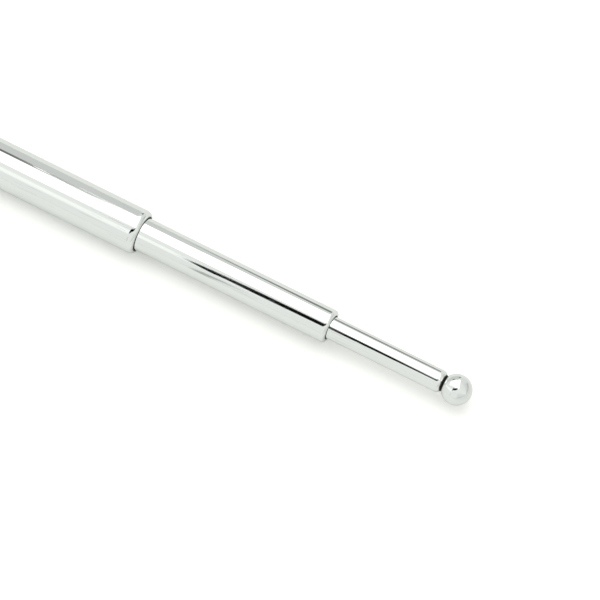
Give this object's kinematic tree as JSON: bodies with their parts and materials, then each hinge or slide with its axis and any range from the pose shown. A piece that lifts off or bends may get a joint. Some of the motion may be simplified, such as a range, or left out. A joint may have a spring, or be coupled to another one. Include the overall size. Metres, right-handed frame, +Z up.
{
  "type": "telescopic antenna",
  "caption": "Telescopic rod antenna of chromed tubes that slide out of one another, with rolled-in mouths, a ball at the tip and a threaded stud below a hexagon at the base.",
  "frame": {"origin": "on the antenna's axis, on the hexagon's shoulder that the stud stands out of", "axes": "+X along the antenna towards the ball tip, +Z up as it lies on a flat of the hexagon"},
  "size_m": [0.2274, 0.0092, 0.008],
  "materials": {
    "tube_chrome": "bright chrome plate on drawn brass tube, with faint lengthwise draw lines",
    "turned_chrome": "bright chrome plate on turned brass, with faint turning marks",
    "plug_brass": "turned brass, bare",
    "leaf_bronze": "spring bronze strip, bare and slightly dulled"
  },
  "bodies": {
    "outer_section": {"base_fitting": "turned_chrome", "outer_tube": "tube_chrome"},
    "middle_section": {"middle_tube": "tube_chrome", "middle_foot_plug": "plug_brass", "middle_contact_leaf_upper": "leaf_bronze", "middle_contact_leaf_lower": "leaf_bronze"},
    "tip_section": {"tip_tube": "tube_chrome", "tip_foot_plug": "plug_brass", "tip_ball": "turned_chrome", "tip_contact_leaf_upper": "leaf_bronze", "tip_contact_leaf_lower": "leaf_bronze"}
  },
  "joints": [
    {"name": "middle_slide", "type": "slide", "parent": "outer_section", "child": "middle_section", "axis": [1, 0, 0], "range_m": [-0.0352, 0.0964]},
    {"name": "tip_slide", "type": "slide", "parent": "middle_section", "child": "tip_section", "axis": [1, 0, 0], "range_m": [-0.0223, 0.0951]}
  ]
}
